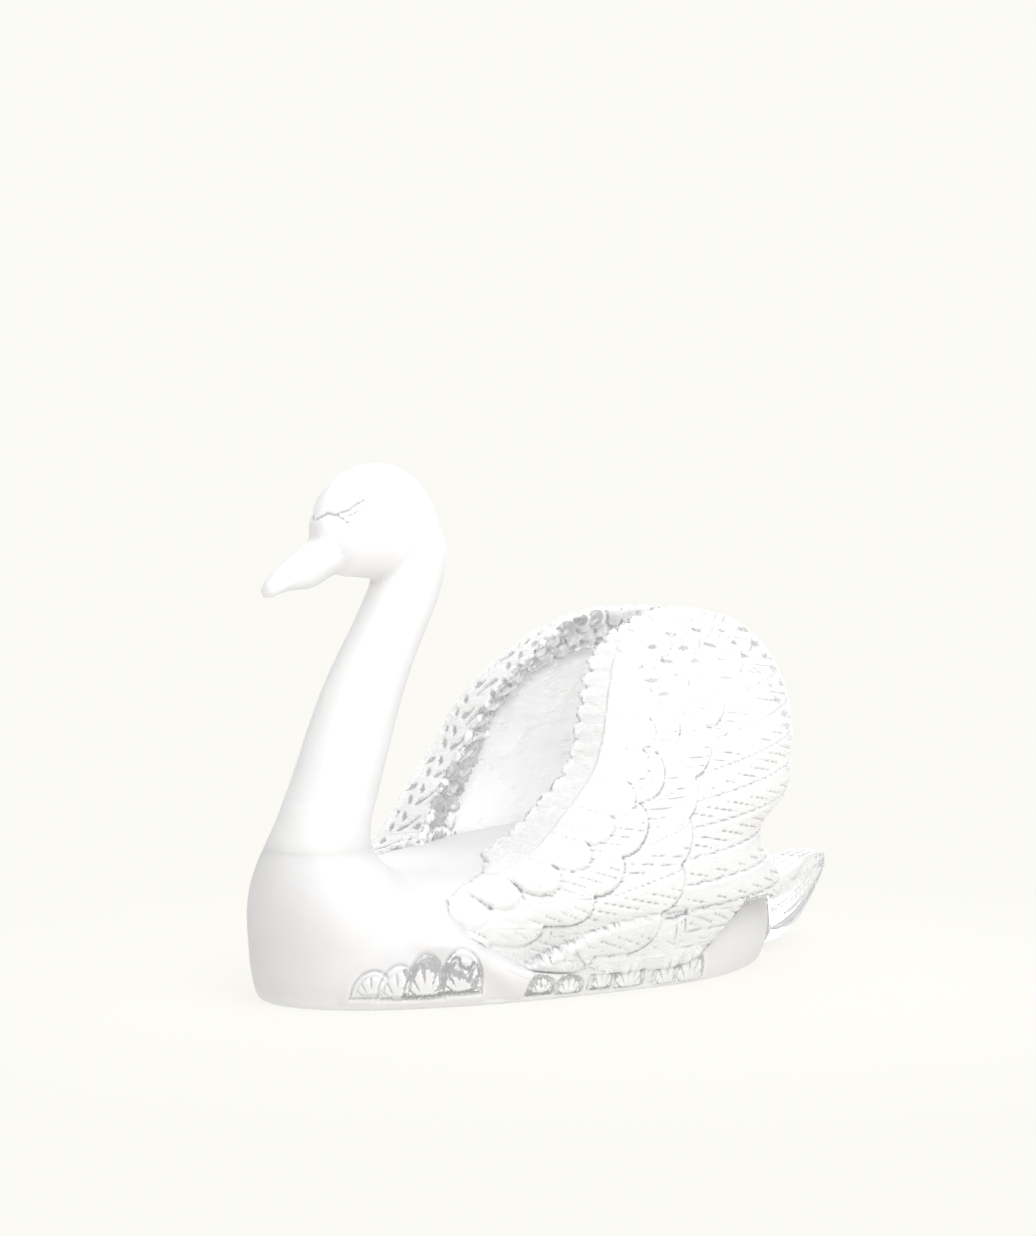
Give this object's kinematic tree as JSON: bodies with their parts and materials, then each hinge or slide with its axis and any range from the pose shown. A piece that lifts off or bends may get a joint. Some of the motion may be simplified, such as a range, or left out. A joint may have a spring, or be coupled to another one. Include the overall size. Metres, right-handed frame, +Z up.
{
  "type": "crystal glass figurine",
  "caption": "Solid crystal glass figurine of a resting swan with frosted neck and body, cut feather wings and a turned-up tail, standing on a flat base.",
  "frame": {"origin": "middle of the bounding box on the resting face", "axes": "+Z up, -Y the way the swan faces, +X to the swan's left"},
  "size_m": [0.167, 0.3421, 0.24],
  "materials": {
    "satin_crystal": "acid-frosted, satin white",
    "cut_crystal": "cut and polished relief with satin recesses",
    "clear_adhesive": "clear UV-cured adhesive film"
  },
  "bodies": {
    "root": {"body": "satin_crystal", "neck_and_head": "satin_crystal", "left_wing": "cut_crystal", "right_wing": "cut_crystal", "tail": "cut_crystal", "neck_bond": "clear_adhesive", "left_wing_bond": "clear_adhesive", "right_wing_bond": "clear_adhesive", "tail_bond": "clear_adhesive"}
  },
  "joints": []
}
